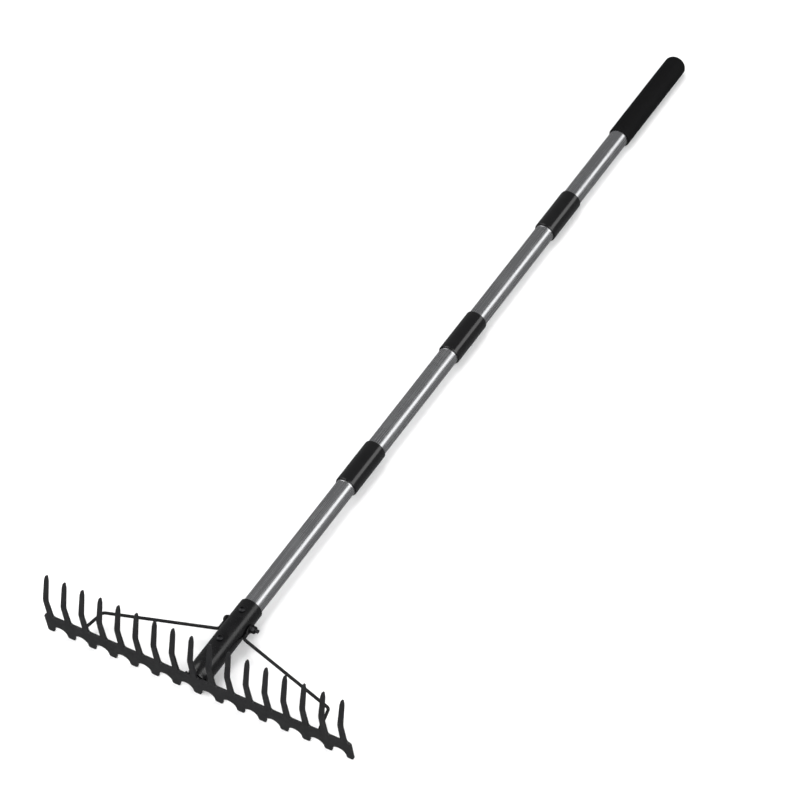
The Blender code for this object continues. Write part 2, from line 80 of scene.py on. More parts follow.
# Rounded edges and small details of the visible shapes
PLATE_BEVEL, MOUTH_EDGE, GRIP_EDGE = 0.4, 0.9, 1.3
SOCKET_NOSE_LENGTH, COLLAR_TOP = 3.2, 1.2
BEAD_HEIGHT, BEAD_WIDTH, BEAD_BELOW_SLEEVE = 0.3, 1.6, 1.6

# Weld beads: the brace's bead radius, how far each bead's middle stands off, and each bead's start and
# sweep in degrees, its steps and its scales
BRACE_WELD_RADIUS = 1.3
SOCKET_WELD_OFF, BRACE_WELD_OFF = SOCKET_NOSE_RADIUS + 0.9 + WELD_RADIUS, WIRE_RADIUS + 1.8
SOCKET_WELD_RUN, BRACE_WELD_RUN = (-192, 204, 120, 26), (10, 340, 60, 14)

# Fastener sizes: a head is (radius, height)
SOCKET_BOLT_HEAD, BRACE_BOLT_HEAD = (4.5, 2.9), (4.6, 3.4)
SOCKET_BOLT_PLAIN, BRACE_BOLT_PLAIN, SOCKET_BOLT_TAIL = 6.0, 8.0, 5.6
BOLT_PITCH, BOLT_THREAD_DEPTH, BOLT_CHAMFER, HEAD_RIM = 0.8, 0.38, 0.6, 0.35
HEX_FLAT, HEX_DEPTH = 1.5, 3.0
NUT_FLAT, NUT_HEIGHT, NUT_CHAMFER = 4.15, 4.0, 0.42
WASHER_RADIUS, WASHER_THICKNESS = 5.4, 1.0

# Directions in the rake's frame, turns that take a piece's Y axis to them, and the braces' sides
HANDLEWARD, TINEWARD = Vector((0, 1, 0)), Vector((0, 0, 1))
UP, DOWN = Matrix.Rotation(math.pi / 2, 4, "X"), Matrix.Rotation(math.pi * 1.5, 4, "X")
TO_LEFT, TO_RIGHT = Matrix.Rotation(math.pi / 2, 4, "Z"), Matrix.Rotation(-math.pi / 2, 4, "Z")
SIDES = ((-1, "left"), (1, "right"))

# Points round a turned piece, and the angle in degrees at which an edge is shaded sharp
ROUND, FINE_ROUND, SMALL_ROUND = 96, 72, 48
SHARP, FASTENER_SHARP = 40, 30

# The rake's own frame, from the hinge of the lowest joint, and the head's, which leans from it
hinge = next(joint for joint in frame["joints"] if joint["type"] == "hinge")
axis = Vector(hinge["axis"]).normalized()
origin = Vector(hinge["pos_m"]) - axis * JOINTS_AT[0] * MM
RAKE = Matrix.Translation(origin) @ Matrix.Rotation(math.atan2(axis.z, axis.y), 4, "X")
HEAD = RAKE @ Matrix.Rotation(HEAD_LEAN, 4, "X")


# Materials


class Nodes:
    """A material's node tree, with a Principled shader and coordinates that don't change with the view."""

    def __init__(self, name, metallic, ior=1.45):
        self.material = bpy.data.materials.new(name)
        self.material.use_nodes = True
        self.tree = self.material.node_tree
        self.shader = self.tree.nodes["Principled BSDF"]
        self.shader.inputs["Metallic"].default_value = metallic
        self.shader.inputs["IOR"].default_value = ior
        self.place = self.node("ShaderNodeTexCoord").outputs["Object"]

    def node(self, kind, **values):
        made = self.tree.nodes.new(kind)
        for key, value in values.items():
            setattr(made, key, value)
        return made

    def link(self, source, target):
        self.tree.links.new(source, target)

    def noise(self, scale, detail, stretch=(1, 1, 1), roughness=0.5):
        """Noise over the object, with its coordinates scaled by stretch first."""
        mapping = self.node("ShaderNodeMapping")
        mapping.inputs["Scale"].default_value = stretch
        self.link(self.place, mapping.inputs["Vector"])
        made = self.node("ShaderNodeTexNoise")
        made.inputs["Scale"].default_value = scale
        made.inputs["Detail"].default_value = detail
        made.inputs["Roughness"].default_value = roughness
        self.link(mapping.outputs["Vector"], made.inputs["Vector"])
        return made.outputs["Fac"]

    def cells(self, scale):
        """The distance to the nearest of many scattered points."""
        made = self.node("ShaderNodeTexVoronoi")
        made.inputs["Scale"].default_value = scale
        self.link(self.place, made.inputs["Vector"])
        return made.outputs["Distance"]

    def spread(self, value, low, high, source=(0.3, 0.7)):
        """The value, stretched from the source range to low..high."""
        made = self.node("ShaderNodeMapRange")
        for socket, number in zip(("From Min", "From Max", "To Min", "To Max"), (*source, low, high)):
            made.inputs[socket].default_value = number
        self.link(value, made.inputs["Value"])
        return made.outputs["Result"]

    def colours(self, value, dark, light, span=(0.3, 0.7)):
        """A colour from dark to light as the value goes across the span."""
        ramp = self.node("ShaderNodeValToRGB")
        for element, position, colour in zip(ramp.color_ramp.elements, span, (dark, light)):
            element.position = position
            element.color = (*colour, 1)
        self.link(value, ramp.inputs["Fac"])
        return ramp.outputs["Color"]

    def blend(self, factor, colour, other):
        """The colour, with as much of the other one, a plain colour, as the factor says."""
        mix = self.node("ShaderNodeMix", data_type="RGBA")
        a, b = (socket for socket in mix.inputs if socket.name in ("A", "B") and socket.type == "RGBA")
        self.link(factor, mix.inputs["Factor"])
        self.link(colour, a)
        b.default_value = (*other, 1)
        return next(socket for socket in mix.outputs if socket.type == "RGBA")

    def bump(self, *layers):
        """Layers of (height, strength, distance in metres), the first one outermost."""
        normal = None
        for height, strength, distance in reversed(layers):
            made = self.node("ShaderNodeBump")
            made.inputs["Strength"].default_value = strength
            made.inputs["Distance"].default_value = distance
            self.link(height, made.inputs["Height"])
            if normal:
                self.link(normal, made.inputs["Normal"])
            normal = made.outputs["Normal"]
        self.link(normal, self.shader.inputs["Normal"])

    def finish(self, colour, roughness):
        """Links the last two inputs, and returns the material."""
        self.link(colour, self.shader.inputs["Base Color"])
        self.link(roughness, self.shader.inputs["Roughness"])
        return self.material


def enamel(name, dark, light, rough, ior=1.5):
    """Satin paint on steel: an orange peel skin, faint dust in the colour and uneven gloss."""
    n = Nodes(name, 0.0, ior)
    colour = n.colours(n.noise(45, 4), dark, light, (0.3, 0.72))
    dust = [channel * 2.1 for channel in light]
    colour = n.blend(n.spread(n.noise(2600, 2), 0.0, 0.35, (0.62, 0.8)), colour, dust)
    n.bump((n.noise(620, 2), 0.35, 0.00012), (n.noise(2400, 2), 0.2, 0.00004))
    return n.finish(colour, n.spread(n.noise(130, 4), rough - 0.06, rough + 0.08))


def brushed_steel(name):
    """Stainless tube brushed along its length, with faint handling marks."""
    n = Nodes(name, 1.0)
    streaks = n.noise(900, 5, (1, 0.012, 1), 0.65)
    wide = n.noise(160, 3, (1, 0.03, 1))
    colour = n.colours(streaks, (0.50, 0.505, 0.515), (0.66, 0.665, 0.675), (0.25, 0.75))
    colour = n.blend(n.spread(wide, 0.0, 0.3), colour, (0.44, 0.445, 0.455))
    rough = n.node("ShaderNodeMath", operation="ADD")
    n.link(n.spread(streaks, 0.2, 0.3), rough.inputs[0])
    n.link(n.spread(n.noise(22, 3), 0.0, 0.07, (0.5, 0.75)), rough.inputs[1])
    n.bump((streaks, 0.22, 0.00003), (wide, 0.12, 0.00006))
    return n.finish(colour, rough.outputs[0])


def bolt_steel(name, dark, light):
    """Blackened steel with a fine grain."""
    n = Nodes(name, 1.0)
    grain = n.noise(1500, 3)
    n.bump((grain, 0.2, 0.00003), (n.noise(260, 2), 0.15, 0.00006))
    return n.finish(n.colours(n.noise(380, 4), dark, light), n.spread(grain, 0.38, 0.55))


def moulded(name, dark, light, rough, grain, depth, ior=1.49):
    """Injection-moulded plastic with a fine even texture. rough is the range of its roughness."""
    n = Nodes(name, 0.0, ior)
    n.bump((n.noise(grain, 2), 0.25, depth), (n.noise(90, 2), 0.15, 0.00008))
    return n.finish(n.colours(n.noise(60, 3), dark, light), n.spread(n.noise(210, 3), *rough))


def foam(name):
    """Closed-cell grip foam: small pores over a soft uneven skin."""
    n = Nodes(name, 0.0, 1.22)
    lumps = n.noise(420, 4)
    colour = n.colours(lumps, (0.0015, 0.0015, 0.0017), (0.0045, 0.0045, 0.0048))
    n.bump((n.cells(1500), 0.45, 0.00014), (lumps, 0.4, 0.0002))
    return n.finish(colour, n.spread(lumps, 0.62, 0.82))


def floor_paint(name):
    """Pale matt paint."""
    n = Nodes(name, 0.0, 1.4)
    n.bump((n.noise(320, 3), 0.08, 0.0001))
    colour = n.colours(n.noise(3, 3), (0.91, 0.91, 0.91), (0.94, 0.94, 0.94))
    return n.finish(colour, n.spread(n.noise(25, 3), 0.55, 0.65))


ENAMEL = enamel("satin_black_enamel", (0.007, 0.0073, 0.008), (0.012, 0.0123, 0.013), 0.42)
# The socket's copy of the satin black paint is darker than the plate's: painted shade
SOCKET_PAINTED_SHADE_ENAMEL = enamel("socket_painted_shade_enamel", (0.0015, 0.0015, 0.0018), (0.0035, 0.0035, 0.0038), 0.24, 1.53)
# The braces' copy of the satin black paint is darker than the plate's: painted shade that dims the wires
WIRE_PAINTED_SHADE_ENAMEL = enamel("wire_painted_shade_enamel", (0.004, 0.004, 0.0043), (0.007, 0.007, 0.0074), 0.5, 1.33)
WELD_ENAMEL = enamel("weld_enamel", (0.006, 0.006, 0.0064), (0.01, 0.01, 0.0105), 0.48, 1.4)
TUBE_STEEL = brushed_steel("brushed_stainless")
BOLT_STEEL = bolt_steel("blackened_steel", (0.026, 0.026, 0.028), (0.05, 0.05, 0.052))
GLOSS_BLACK = moulded(
    "gloss_black_plastic", (0.0015, 0.0015, 0.0017), (0.003, 0.003, 0.0032), (0.14, 0.2), 1600, 0.00002, 1.62
)
INSERT_NYLON = moulded(
    "insert_nylon", (0.022, 0.022, 0.024), (0.032, 0.032, 0.034), (0.4, 0.52), 900, 0.00006
)
GRIP_FOAM = foam("grip_foam")
FLOOR = floor_paint("pale_floor")


# Making pieces


def shade(mesh, sharp):
    """Smooth shading, except across edges sharper than an angle in degrees."""
    for polygon in mesh.polygons:
        polygon.use_smooth = True
    mesh.set_sharp_from_angle(angle=math.radians(sharp))


def new_object(name, bm, looks, matrix=RAKE, sharp=SHARP):
    """An object in metres from bmesh geometry in millimetres."""
    bmesh.ops.recalc_face_normals(bm, faces=bm.faces)
    for vert in bm.verts:
        vert.co *= MM
    mesh = bpy.data.meshes.new(name)
    bm.to_mesh(mesh)
    bm.free()
    shade(mesh, sharp)
    mesh.materials.append(looks)
    obj = bpy.data.objects.new(name, mesh)
    bpy.context.scene.collection.objects.link(obj)
    obj.matrix_world = matrix
    return obj


def settle(obj):
    """Applies every modifier and removes the slivers that a cut leaves."""
    bpy.context.view_layer.update()
    graph = bpy.context.evaluated_depsgraph_get()
    mesh = bpy.data.meshes.new_from_object(obj.evaluated_get(graph))
    bm = bmesh.new()
    bm.from_mesh(mesh)
    bmesh.ops.dissolve_degenerate(bm, dist=2e-6, edges=bm.edges)
    bm.to_mesh(mesh)
    bm.free()
    obj.modifiers.clear()
    obj.data = mesh
    shade(mesh, SHARP)


def subtract(obj, *cutters):
    """Cuts each cutter out of the object, and removes the cutters."""
    for cutter in cutters:
        made = obj.modifiers.new("Cut", "BOOLEAN")
        made.operation = "DIFFERENCE"
        made.solver = "EXACT"
        made.object = cutter
    settle(obj)
    for cutter in cutters:
        bpy.data.objects.remove(cutter)


def belongs(obj, body, node):
    """Puts the object on its body in place of its CAD node."""
    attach(obj, body)
    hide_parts(node)


def skinned(name, rings, looks, matrix=RAKE, closed=False, sharp=SHARP):
    """An object skinned over rings of points. A closed skin joins its last ring to its first, and an open one
    is capped."""
    bm = bmesh.new()
    made = [[bm.verts.new(p) for p in ring] for ring in rings]
    count = len(rings[0])
    for low, high in zip(made, made[1:] + (made[:1] if closed else [])):
        for i in range(count):
            j = (i + 1) % count
            bm.faces.new((low[i], low[j], high[j], high[i]))
    if not closed:
        bm.faces.new(made[0])
        bm.faces.new(made[-1])
    return new_object(name, bm, looks, matrix, sharp)


def circle(y, radius, count=ROUND):
    """Points round the Y axis. The radius is a number, or a function of the angle."""
    points = []
    for k in range(count):
        a = math.tau * k / count
        r = radius(a) if callable(radius) else radius
        points.append(Vector((r * math.cos(a), y, r * math.sin(a))))
    return points


def turned(name, profile, looks, matrix=RAKE, count=ROUND, closed=True, sharp=SHARP):
    """A round piece about its own Y axis, from (radius, y) pairs."""
    return skinned(name, [circle(y, r, count) for r, y in profile], looks, matrix, closed, sharp)


def round_edge(radius, y, edge, outward, steps=5):
    """Profile points of a rounded outer edge. outward is the end's direction along Y, +1 or -1."""
    points = []
    for i in range(steps + 1):
        a = math.radians(90 * i / steps)
        points.append((radius - edge + edge * math.sin(a), y - outward * edge * (1 - math.cos(a))))
    return points if outward < 0 else points[::-1]


def around(centre, across, thick, half_across, half_thick, square=1.0, count=32):
    """Points of an oval about a centre. It nears a rectangle as square goes from 1 to 0."""
    points = []
    for k in range(count):
        c, s = math.cos(math.tau * k / count), math.sin(math.tau * k / count)
        u = math.copysign(abs(c) ** square, c) * half_across
        v = math.copysign(abs(s) ** square, s) * half_thick
        points.append(centre + across * u + thick * v)
    return points


# Head


def arc(cx, cz, radius, start, end, steps):
    """Points of an arc between two angles in degrees."""
    turns = [math.radians(start + (end - start) * i / steps) for i in range(steps + 1)]
    return [(cx + radius * math.cos(a), cz + radius * math.sin(a)) for a in turns]


def tooth_edge():
    """The plate's lower edge, from -X to +X: rounded teeth with a scallop between each two."""
    tip = ROOT_LINE - TOOTH_REACH
    opening = math.sqrt(SCALLOP_RADIUS**2 - (SCALLOP_CENTRE - TOOTH_CORNER) ** 2)
    points = []
    for k in range(TEETH):
        x = (k - (TEETH - 1) / 2) * TOOTH_PITCH
        left = x - TOOTH_PITCH / 2 + opening if k else -PLATE_HALF
        right = x + TOOTH_PITCH / 2 - opening if k < TEETH - 1 else PLATE_HALF
        points += arc(left + TOOTH_CORNER, tip + TOOTH_CORNER, TOOTH_CORNER, 180, 270, 7)
        points += arc(right - TOOTH_CORNER, tip + TOOTH_CORNER, TOOTH_CORNER, 270, 360, 7)
        if k < TEETH - 1:
            points += arc(x + TOOTH_PITCH / 2, tip + SCALLOP_CENTRE, SCALLOP_RADIUS, 177, 3, 30)
    return points


def tine_half(z):
    """Half of a tine's width at a height above its root."""
    width = TINE_ROOT_HALF + (TINE_HALF - TINE_ROOT_HALF) * min(1.0, z / TINE_STRAIGHT)
    beyond = max(0.0, z - TINE_STRAIGHT) / (TINE_LENGTH - TINE_STRAIGHT)
    width += (TINE_END_HALF - TINE_HALF) * beyond
    point = max(0.0, z - (TINE_LENGTH - TINE_POINT)) / TINE_POINT
    return width + (TINE_TIP_HALF - width) * point**1.6


def tine_edge():
    """The plate's upper edge, from +X to -X: tines with filleted roots."""
    heights = [ROOT_FILLET + 2, 10, 17, 24, TINE_STRAIGHT, 34, 41, 48]
    heights += [TINE_LENGTH - TINE_POINT + TINE_POINT * i / 12 for i in range(12)]
    points = []
    for k in reversed(range(TINES)):
        x = (k - (TINES - 1) / 2) * TINE_PITCH
        foot = x + TINE_ROOT_HALF + ROOT_FILLET
        root = [(px, pz + ROOT_LINE) for px, pz in arc(foot, ROOT_FILLET, ROOT_FILLET, 270, 180, 8)]
        side = [(x + tine_half(h), ROOT_LINE + h) for h in heights]
        tip = [(x + 0.8, ROOT_LINE + TINE_LENGTH - 0.15), (x + 0.35, ROOT_LINE + TINE_LENGTH)]
        half = root + side + tip
        points += half[1:] if k == TINES - 1 else half
        mirrored = [(2 * x - px, pz) for px, pz in reversed(half)]
        points += mirrored[:-1] if k == 0 else mirrored
    return points


def bent(x, z):
    """Where a point of the flat sheet goes when the tines are bent."""
    along = z - BEND_START
    if along <= 0:
        return Vector((x, 0, z))
    turn = min(along / TINE_BEND_RADIUS, TINE_BEND)
    rest = max(0.0, along - TINE_BEND_RADIUS * TINE_BEND)
    y = TINE_BEND_RADIUS * (1 - math.cos(turn)) + rest * math.sin(turn)
    return Vector((x, y, BEND_START + TINE_BEND_RADIUS * math.sin(turn) + rest * math.cos(turn)))


def make_tine_plate():
    """The stamped sheet: its outline, creased where the tines bend, then bent, thickened and bevelled."""
    outline = tooth_edge()
    outline += arc(PLATE_HALF - PLATE_CORNER, ROOT_LINE - PLATE_CORNER, PLATE_CORNER, 0, 90, 6)[:-1]
    outline += tine_edge()
    outline += arc(-PLATE_HALF + PLATE_CORNER, ROOT_LINE - PLATE_CORNER, PLATE_CORNER, 90, 180, 6)[1:]
    bm = bmesh.new()
    bm.faces.new([bm.verts.new((x, 0, z)) for x, z in outline])
    creases = [BEND_START + TINE_BEND_RADIUS * TINE_BEND * i / 10 for i in range(11)]
    for z in [ROOT_LINE + ROOT_FILLET + 2] + creases:
        everything = bm.verts[:] + bm.edges[:] + bm.faces[:]
        bmesh.ops.bisect_plane(bm, geom=everything, plane_co=(0, 0, z), plane_no=(0, 0, 1), dist=1e-4)
    for vert in bm.verts:
        vert.co = bent(vert.co.x, vert.co.z)
    plate = new_object("plate_with_tines", bm, ENAMEL, HEAD)
    solidify = plate.modifiers.new("Thickness", "SOLIDIFY")
    solidify.thickness = PLATE_THICKNESS * MM
    solidify.offset = 0
    solidify.use_even_offset = True
    bevel = plate.modifiers.new("Edges", "BEVEL")
    bevel.width = PLATE_BEVEL * MM
    bevel.segments = 3
    bevel.limit_method = "ANGLE"
    bevel.angle_limit = math.radians(SHARP)
    normals = plate.modifiers.new("Normals", "WEIGHTED_NORMAL")
    normals.keep_sharp = True
    normals.weight = 80
    belongs(plate, "head", "tine_plate")


def plate_face(z, lift):
    """How far up the handle a point is that stands off the plate's back by a lift."""
    return (PLATE_THICKNESS / 2 + lift - z * math.sin(HEAD_LEAN)) / math.cos(HEAD_LEAN)


def nose_ring(radius):
    """A ring of the socket's nose, cut to lie along the plate."""
    ring = circle(0, radius)
    for point in ring:
        point.y = plate_face(point.z, GAP)
    return ring


def make_socket():
    """The ferrule, with a soft shoulder above its narrowed nose and a rounded mouth."""
    profile = []
    for i in range(13):
        t = i / 12
        ease = math.sin(t * math.pi / 2) ** 0.9
        radius = SOCKET_NOSE_RADIUS + (SOCKET_RADIUS - SOCKET_NOSE_RADIUS) * ease
        profile.append((radius, SOCKET_NOSE_LENGTH + (SOCKET_TAPER - SOCKET_NOSE_LENGTH) * t))
    profile += [(SOCKET_RADIUS, SOCKET_END - 40), (SOCKET_RADIUS, SOCKET_END - 3.0)]
    profile += round_edge(SOCKET_RADIUS, SOCKET_END, MOUTH_EDGE, 1)
    inner = SOCKET_RADIUS - SOCKET_WALL
    profile += [(inner + 0.4, SOCKET_END), (inner, SOCKET_END - 0.5), (inner, SOCKET_TAPER)]
    profile += [(SOCKET_NOSE_RADIUS + 1 - SOCKET_WALL, 8)]
    rings = [nose_ring(SOCKET_NOSE_RADIUS - 0.3)] + [circle(y, r) for r, y in profile]
    rings += [nose_ring(SOCKET_NOSE_RADIUS - SOCKET_WALL)]
    # The socket wears the darker copy of the enamel, with painted shade in its colour
    socket = skinned("socket_ferrule", rings, SOCKET_PAINTED_SHADE_ENAMEL, closed=True)
    subtract(socket, *bolt_holes())
    belongs(socket, "head", "socket")


def bead(name, node, foot, off, radius, run, side=1):
    """A weld bead on the plate round a foot (x, z), mirrored for side -1, with the overlapping scales of its
    passes."""
    start, sweep, steps, scales = run
    rings = []
    for i in range(steps + 1):
        a = math.radians(start + sweep * i / steps)
        out = Vector((side * math.cos(a), 0, math.sin(a)))
        centre = Vector((side * foot[0], 0, foot[1])) + out * off
        centre.y = plate_face(centre.z, GAP + radius)
        scale = 1 - 0.07 * ((i * scales / (steps + 1)) % 1.0)
        end = min(1.0, 0.55 + min(i, steps - i) * 0.15)
        r = radius * scale * end
        rings.append(around(centre, out, HANDLEWARD, r, r, count=16))
    piece = skinned(name, rings, WELD_ENAMEL, sharp=60)
    belongs(piece, "head", node)


def make_welds():
    """The beads round the socket's nose and round each brace's foot."""
    bead("socket_weld_bead", "socket_weld", (0, 0), SOCKET_WELD_OFF, WELD_RADIUS, SOCKET_WELD_RUN)
    for side, hand in SIDES:
        name, node = f"brace_weld_bead_{hand}", f"brace_weld_{hand}"
        bead(name, node, BRACE_FOOT, BRACE_WELD_OFF, BRACE_WELD_RADIUS, BRACE_WELD_RUN, side)


def fillet(before, corner, after, radius, steps):
    """Points of an arc that rounds the corner between two straight runs."""
    a, b = (before - corner).normalized(), (after - corner).normalized()
    half = a.angle(b) / 2
    centre = corner + (a + b).normalized() * radius / math.sin(half)
    start = corner + a * radius / math.tan(half) - centre
    end = corner + b * radius / math.tan(half) - centre
    sweep, turn = start.angle(end), start.cross(end).normalized()
    return [centre + Matrix.Rotation(sweep * i / steps, 3, turn) @ start for i in range(steps + 1)]


def flattened_end():
    """The brace's flattened end: each ring's (y, distance out, half thickness, half width, squareness)."""
    rings = []
    for i in range(1, 9):
        t = i / 8
        ease = t * t * (3 - 2 * t)
        y = BRACE_BOLT_AT - 11.5 + 7 * t
        thin, wide = WIRE_RADIUS + (STRAP_THIN - WIRE_RADIUS) * ease, WIRE_RADIUS + 2.9 * ease
        rings.append((y, 1 - ease, thin, wide, 1 - 0.45 * ease))
    rings.append((BRACE_BOLT_AT, 0, STRAP_THIN, STRAP_WIDE, 0.5))
    for i in range(1, 12):
        t = math.radians(8 * i)
        y = BRACE_BOLT_AT + STRAP_WIDE * math.sin(t)
        rings.append((y, 0, STRAP_THIN, STRAP_WIDE * math.cos(t), 0.5))
    return rings


def make_brace(side, hand):
    """A wire from the plate to the socket, flattened and drilled at the bolt."""
    foot = Vector((BRACE_FOOT[0], plate_face(BRACE_FOOT[1], GAP + 0.2), BRACE_FOOT[1]))
    elbow = Vector(BRACE_BEND)
    turn = Vector((STRAP_CENTRE + 1.3, BRACE_BOLT_AT - STRAP_LENGTH, 0.0))
    strap = Vector((STRAP_CENTRE, BRACE_BOLT_AT - 10.5, 0.0))
    path = [foot] + fillet(foot, elbow, turn, BRACE_BEND_RADIUS, 14)
    path += fillet(elbow, turn, strap, STRAP_BEND_RADIUS, 12)
    directions = [path[i + 1] - path[max(i - 1, 0)] for i in range(len(path) - 1)] + [HANDLEWARD]
    rings = [
        around(point, ahead.cross(TINEWARD).normalized(), TINEWARD, WIRE_RADIUS, WIRE_RADIUS)
        for point, ahead in zip(path, directions)
    ]
    for y, out, thin, wide, square in flattened_end():
        centre = Vector((STRAP_CENTRE + out, y, 0))
        rings.append(around(centre, Vector((1, 0, 0)), TINEWARD, thin, wide, square))
    rings = [[Vector((side * p.x, p.y, p.z)) for p in ring] for ring in rings]
    # The brace wears the darker copy of the enamel, with painted shade in its colour
    brace = skinned(f"wire_brace_{hand}", rings, WIRE_PAINTED_SHADE_ENAMEL)
    subtract(brace, drill("eye", 12, "X", (side * STRAP_CENTRE, BRACE_BOLT_AT, 0)))
    belongs(brace, "head", f"brace_{hand}")


def drill(name, length, along, at):
    """A cutter for a bolt's hole, along the rake's X or Z."""
    bm = bmesh.new()
    bmesh.ops.create_cone(
        bm, cap_ends=True, segments=SMALL_ROUND, radius1=HOLE_RADIUS, radius2=HOLE_RADIUS, depth=length
    )
    if along == "X":
        bmesh.ops.rotate(bm, verts=bm.verts, matrix=Matrix.Rotation(math.pi / 2, 3, "Y"))
    bmesh.ops.translate(bm, verts=bm.verts, vec=at)
    return new_object(name, bm, ENAMEL)


def shank(length, plain):
    """Profile points of a threaded shank from 0 down to -length, after a plain stretch."""
    points = [(BOLT_RADIUS, 0), (BOLT_RADIUS, -plain - 0.3)]
    y = -plain - BOLT_PITCH
    while y > -length + BOLT_CHAMFER + BOLT_PITCH:
        points += [(BOLT_RADIUS - BOLT_THREAD_DEPTH, y + BOLT_PITCH / 2), (BOLT_RADIUS, y)]
        y -= BOLT_PITCH
    return points + [(BOLT_RADIUS - 0.1, -length + BOLT_CHAMFER), (BOLT_RADIUS - BOLT_CHAMFER, -length)]


def placed(location, turns):
    """A matrix in the rake's frame for a piece made about its own Y."""
    return RAKE @ Matrix.Translation(Vector(location) * MM) @ turns


def head_dome(radius, height):
    """Profile of a low domed head, from its crown down to its flat underside."""
    points = []
    for i in range(9):
        a = math.radians(12 + 78 * i / 8)
        rise = math.cos(a) / math.cos(math.radians(12))
        points.append((radius * math.sin(a), HEAD_RIM + (height - HEAD_RIM) * rise))
    return points + [(radius, 0.25), (radius - 0.25, 0)]


def hex_cutter(middle, matrix):
    """A cutter for the recess in a bolt's head, with its middle at a height along the bolt."""
    corner = HEX_FLAT / math.cos(math.pi / 6)
    bm = bmesh.new()
    bmesh.ops.create_cone(bm, cap_ends=True, segments=6, radius1=corner, radius2=corner, depth=HEX_DEPTH)
    bmesh.ops.rotate(bm, verts=bm.verts, matrix=Matrix.Rotation(math.pi / 2, 3, "X"))
    bmesh.ops.translate(bm, verts=bm.verts, vec=(0, middle, 0))
    return new_object("recess", bm, BOLT_STEEL, matrix)


def make_bolt(name, node, matrix, head, length, plain, recess):
    """A domed bolt whose head's underside is at the matrix's origin."""
    profile = head_dome(*head) + shank(length, plain)
    bolt = turned(name, profile, BOLT_STEEL, matrix, SMALL_ROUND, False, FASTENER_SHARP)
    subtract(bolt, hex_cutter(recess, matrix))
    belongs(bolt, "head", node)


def make_nut(name, node, matrix):
    """A hexagonal nut with chamfered corners, standing on the matrix's origin."""
    corner = NUT_FLAT / math.cos(math.pi / 6)

    def hexagon(limit):
        """The hexagon's radius at an angle, cut down to a limit at its corners."""
        return lambda a: min(NUT_FLAT / math.cos((a + math.pi / 6) % (math.pi / 3) - math.pi / 6), limit)

    chamfer = [(0, hexagon(corner - NUT_CHAMFER)), (0.18, hexagon(corner - 0.18))]
    chamfer += [(NUT_CHAMFER, hexagon(corner))]
    levels = chamfer + [(NUT_HEIGHT - y, radius) for y, radius in reversed(chamfer)]
    levels += [(NUT_HEIGHT, HOLE_RADIUS + 0.35), (NUT_HEIGHT - 0.4, HOLE_RADIUS - 0.1)]
    levels += [(0.4, HOLE_RADIUS - 0.1), (0, HOLE_RADIUS + 0.35)]
    rings = [circle(y, radius, FINE_ROUND) for y, radius in levels]
    nut = skinned(name, rings, BOLT_STEEL, matrix, closed=True, sharp=25)
    belongs(nut, "head", node)


def make_washer(matrix):
    """The washer under the brace bolt's nut, standing on the matrix's origin."""
    edge = 0.15
    profile = [(WASHER_RADIUS, edge), (WASHER_RADIUS, WASHER_THICKNESS - edge)]
    profile += [(WASHER_RADIUS - edge, WASHER_THICKNESS), (HOLE_RADIUS + 0.1, WASHER_THICKNESS)]
    profile += [(HOLE_RADIUS, WASHER_THICKNESS - 0.1), (HOLE_RADIUS, 0.1), (HOLE_RADIUS + 0.1, 0)]
    profile += [(WASHER_RADIUS - edge, 0)]
    washer = turned("brace_washer_flat", profile, BOLT_STEEL, matrix, 64, sharp=FASTENER_SHARP)
    belongs(washer, "head", "brace_washer")


def bolt_holes():
    """Cutters for the three bolts that go through the socket and the lowest tube."""
    through = 4 * SOCKET_RADIUS
    holes = [drill(f"hole_{place}", through, "Z", (0, at, 0)) for place, at in SOCKET_BOLTS_AT.items()]
    return holes + [drill("hole_brace", through, "X", (0, BRACE_BOLT_AT, 0))]


def make_bolts():
    """The two socket bolts, heads up, and the brace bolt, its head at -X."""
    under = SOCKET_RADIUS + GAP
    for place, at in SOCKET_BOLTS_AT.items():
        bolt, nut = f"socket_bolt_{place}", f"socket_nut_{place}"
        length, height = 2 * under + SOCKET_BOLT_TAIL, SOCKET_BOLT_HEAD[1]
        above, below = placed((0, at, under), UP), placed((0, at, -under), DOWN)
        make_bolt(f"{bolt}_domed", bolt, above, SOCKET_BOLT_HEAD, length, SOCKET_BOLT_PLAIN, height)
        make_nut(f"{nut}_hex", nut, below)
    outside = STRAP_CENTRE + STRAP_THIN + GAP
    length, height = 2 * outside + BRACE_BOLT_TAIL, BRACE_BOLT_HEAD[1]
    left = placed((-outside, BRACE_BOLT_AT, 0), TO_LEFT)
    make_bolt("brace_bolt_domed", "brace_bolt", left, BRACE_BOLT_HEAD, length, BRACE_BOLT_PLAIN, height - 0.1)
    make_washer(placed((outside, BRACE_BOLT_AT, 0), TO_RIGHT))
    right = placed((outside + WASHER_THICKNESS + 0.3, BRACE_BOLT_AT, 0), TO_RIGHT)
    make_nut("brace_nut_hex", "brace_nut", right)


# Handle


def make_tube(number, start, end, sleeve_foot, body):
    """A tube with broken edges, and a rolled bead just below the foot of its sleeve if it has one."""
    inner, edge = TUBE_RADIUS - TUBE_WALL, 0.2
    profile = [(TUBE_RADIUS - edge, end), (TUBE_RADIUS, end - edge)]
    if sleeve_foot:
        for i in range(9):
            a = math.pi * i / 8
            y = sleeve_foot - BEAD_BELOW_SLEEVE + BEAD_WIDTH / 2 * math.cos(a)
            profile.append((TUBE_RADIUS + BEAD_HEIGHT * math.sin(a), y))
    profile += [(TUBE_RADIUS, start + edge), (TUBE_RADIUS - edge, start), (inner + edge / 2, start)]
    profile += [(inner, start + edge / 2), (inner, end - edge / 2), (inner + edge / 2, end)]
    tube = turned(f"steel_tube_{number}", profile, TUBE_STEEL)
    if number == 1:
        subtract(tube, *bolt_holes())
    belongs(tube, body, f"tube_{number}")


